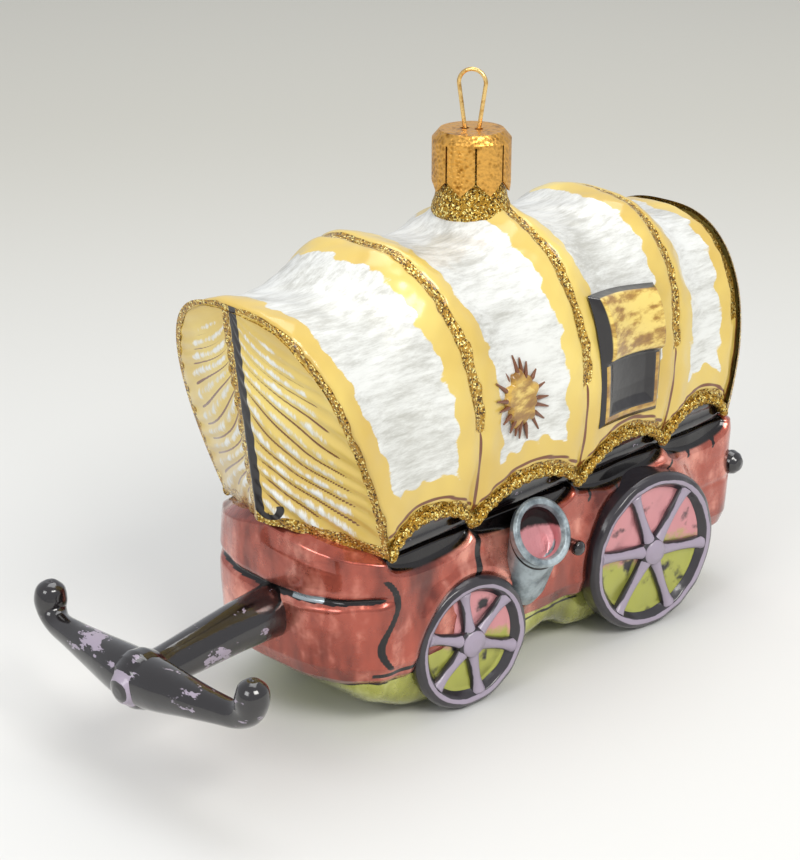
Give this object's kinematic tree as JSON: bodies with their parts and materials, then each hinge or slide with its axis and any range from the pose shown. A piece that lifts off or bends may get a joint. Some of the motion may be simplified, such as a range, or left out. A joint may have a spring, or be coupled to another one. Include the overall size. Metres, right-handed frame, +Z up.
{
  "type": "glass covered wagon tree ornament",
  "caption": "Blown-glass ornament shaped as a covered wagon: hooped canopy on a box with moulded wheels and a draw pole, under a turning crown cap with a wire loop.",
  "frame": {"origin": "on the floor, under the middle of the whole length and width", "axes": "+X towards the draw pole, +Y to the wagon's left, +Z up"},
  "size_m": [0.136, 0.0544, 0.1012],
  "materials": {
    "canopy_glass": "painted gloss with brushed pearl",
    "curtain_glass": "painted gloss with brushed pearl",
    "box_lacquer": "metallic lacquer",
    "underside_lacquer": "metallic lacquer",
    "wheel_lacquer": "satin paint",
    "black_lacquer": "gloss paint",
    "frosted_silver": "frosted paint",
    "glitter": "glitter",
    "ochre_paint": "gloss paint",
    "stamped_cap": "polished",
    "brass_wire": "polished"
  },
  "bodies": {
    "glass": {"canopy": "canopy_glass", "front_curtain": "curtain_glass", "rear_curtain": "curtain_glass", "neck": "glitter", "wagon_box": "box_lacquer", "tail_board": "box_lacquer", "underside": "underside_lacquer", "front_wheel_left": "wheel_lacquer", "front_wheel_right": "wheel_lacquer", "rear_wheel_left": "wheel_lacquer", "rear_wheel_right": "wheel_lacquer", "draw_pole": "black_lacquer", "yoke": "black_lacquer", "water_pail_left": "frosted_silver", "water_pail_right": "frosted_silver", "pail_peg_left": "black_lacquer", "pail_peg_right": "black_lacquer", "window_blind_left": "ochre_paint", "window_blind_right": "ochre_paint"},
    "cap": {"crown_cap": "stamped_cap"},
    "hanger": {"wire_hanger": "brass_wire"}
  },
  "joints": [
    {"name": "cap_turn", "type": "hinge", "parent": "glass", "child": "cap", "pos_m": [-0.0112, 0, 0.085], "axis": [0, 0, 1], "continuous": true},
    {"name": "loop_lean", "type": "hinge", "parent": "cap", "child": "hanger", "pos_m": [-0.0112, 0, 0.0908], "axis": [-0.4384, 0.8988, 0], "range_deg": [-7, 7]}
  ]
}
